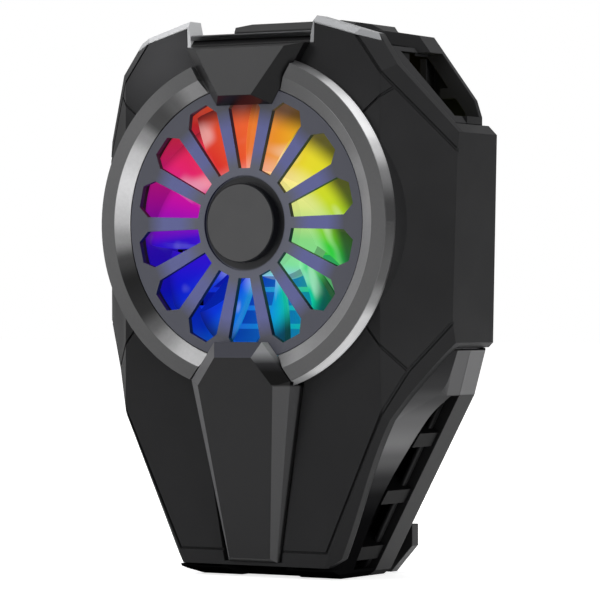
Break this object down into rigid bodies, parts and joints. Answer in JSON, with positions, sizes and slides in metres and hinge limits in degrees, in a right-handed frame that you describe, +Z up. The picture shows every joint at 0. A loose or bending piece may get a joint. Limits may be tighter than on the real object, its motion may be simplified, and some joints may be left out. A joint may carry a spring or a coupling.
{
  "type": "phone cooling fan",
  "caption": "Clip-on phone cooler: a ring-framed fan and lit grille on a faceted plastic housing, with a cold plate and a sprung sliding claw behind.",
  "frame": {"origin": "centre of the soft pad's face, where the phone's back rests", "axes": "+Y out of the pad towards the phone, +Z up along the clamp, +X to the right seen from the fan"},
  "size_m": [0.066, 0.0412, 0.0896],
  "materials": {
    "aluminium": "anodised",
    "board_green": "satin",
    "brass": "turned",
    "cap_grey": "satin",
    "ceramic_white": "matte",
    "claw_black": "satin",
    "core_grey": "matte",
    "duct_white": "frosted",
    "foam_black": "foam",
    "frame_black": "satin",
    "grille_grey": "satin",
    "lamp_white": "gloss",
    "magnet_grey": "satin",
    "panel_gloss": "gloss",
    "rear_black": "matte",
    "ring_chrome": "polished",
    "rotor_white": "frosted",
    "rubber_black": "matte",
    "shell_black": "satin",
    "silicone_grey": "matte",
    "steel": "brushed",
    "trim_light": "satin",
    "winding_copper": "enamelled"
  },
  "bodies": {
    "housing": {"bearing_sleeve": "brass", "bezel_ring": "ring_chrome", "brow_plate": "panel_gloss", "chin_plate": "panel_gloss", "clamp_spring_left": "steel", "clamp_spring_right": "steel", "cold_pad": "silicone_grey", "cold_plate": "aluminium", "control_board": "board_green", "element_cold_plate": "ceramic_white", "element_core": "core_grey", "element_hot_plate": "ceramic_white", "fan_duct": "duct_white", "fan_grille": "grille_grey", "foam_gasket": "foam_black", "front_cover": "shell_black", "heat_sink": "aluminium", "hub_cap": "cap_grey", "lamp_1": "lamp_white", "lamp_2": "lamp_white", "lamp_3": "lamp_white", "lamp_4": "lamp_white", "lamp_5": "lamp_white", "lamp_6": "lamp_white", "lamp_7": "lamp_white", "lamp_8": "lamp_white", "light_board": "board_green", "louvres_left": "frame_black", "louvres_right": "frame_black", "lower_claw": "claw_black", "lower_jaw_pad": "rubber_black", "mid_frame": "frame_black", "motor_board": "board_green", "power_socket": "steel", "rear_cover": "rear_black", "stator": "winding_copper", "top_trim": "trim_light"},
    "claw": {"upper_claw": "claw_black", "upper_jaw_pad": "rubber_black"},
    "fan": {"fan_rotor": "rotor_white", "rotor_shaft": "steel", "rotor_magnet": "magnet_grey"}
  },
  "joints": [
    {"name": "fan_spin", "type": "hinge", "parent": "housing", "child": "fan", "pos_m": [0, -0.021, 0.012], "axis": [0, 1, 0], "continuous": true},
    {"name": "clamp_slide", "type": "slide", "parent": "housing", "child": "claw", "axis": [0, 0, 1], "range_m": [0, 0.018], "stiffness_N_per_m": 250, "springref_m": -0.02, "deforming": ["clamp_spring_right", "clamp_spring_left"]}
  ]
}
